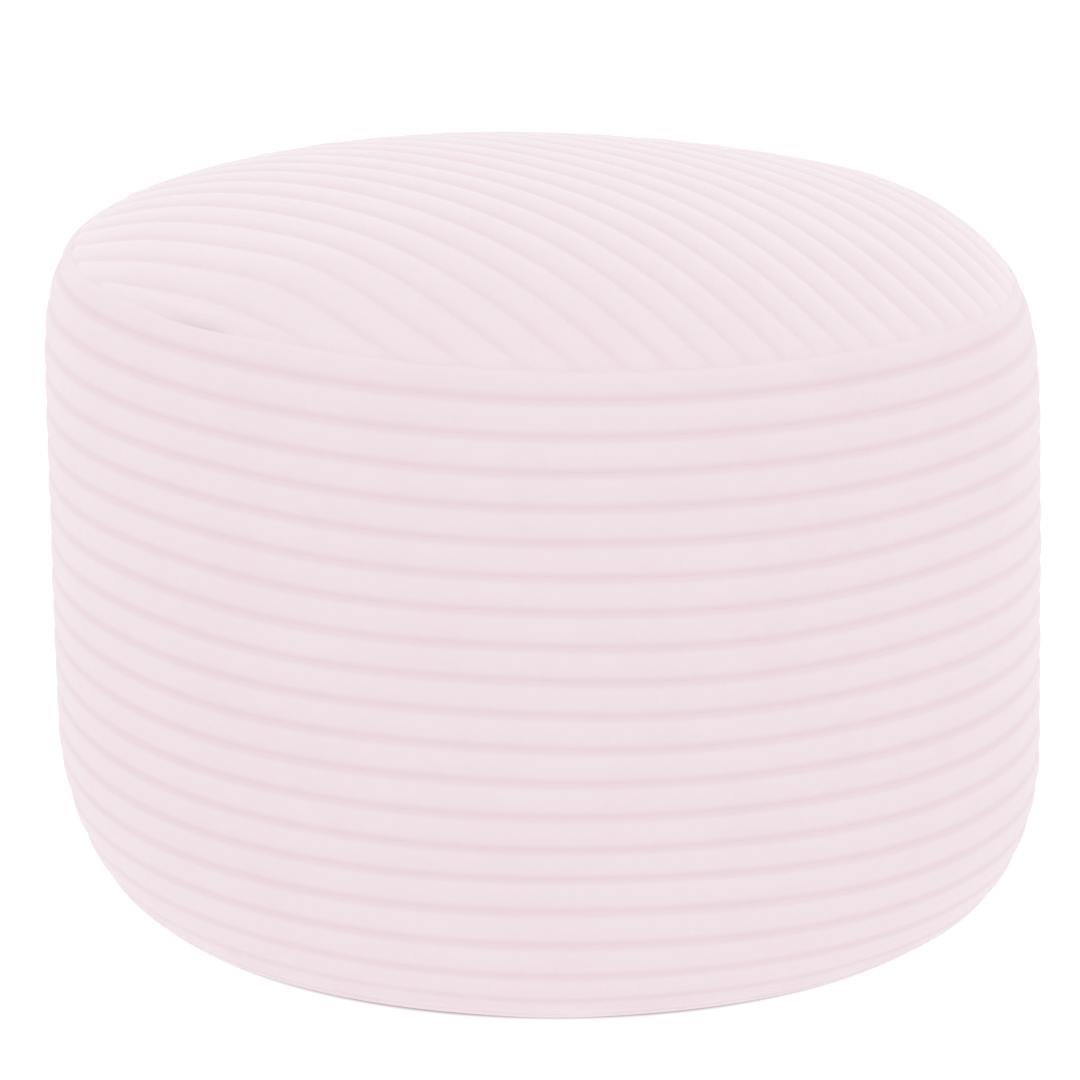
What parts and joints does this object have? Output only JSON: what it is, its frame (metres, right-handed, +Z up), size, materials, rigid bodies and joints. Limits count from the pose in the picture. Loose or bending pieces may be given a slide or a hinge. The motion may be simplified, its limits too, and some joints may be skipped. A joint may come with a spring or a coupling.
{
  "type": "corduroy footstool",
  "caption": "Round filled footstool in wide-ribbed corduroy: level ribs round a full side band, slanting ribs on a crowned top panel, flat base.",
  "frame": {"origin": "middle of the box at floor level, under the stool", "axes": "+Z up, the side that faces the viewer towards -Y, +X to the viewer's right"},
  "size_m": [0.504, 0.4992, 0.3819],
  "materials": {
    "corduroy_band": "matte brushed pile, very pale pink, wide ribs",
    "corduroy_top": "matte brushed pile, very pale pink, wide ribs",
    "base_cloth": "plain matte woven cloth, pale pink"
  },
  "bodies": {
    "root": {"side_band": "corduroy_band", "top_panel": "corduroy_top", "base_panel": "base_cloth"}
  },
  "joints": []
}
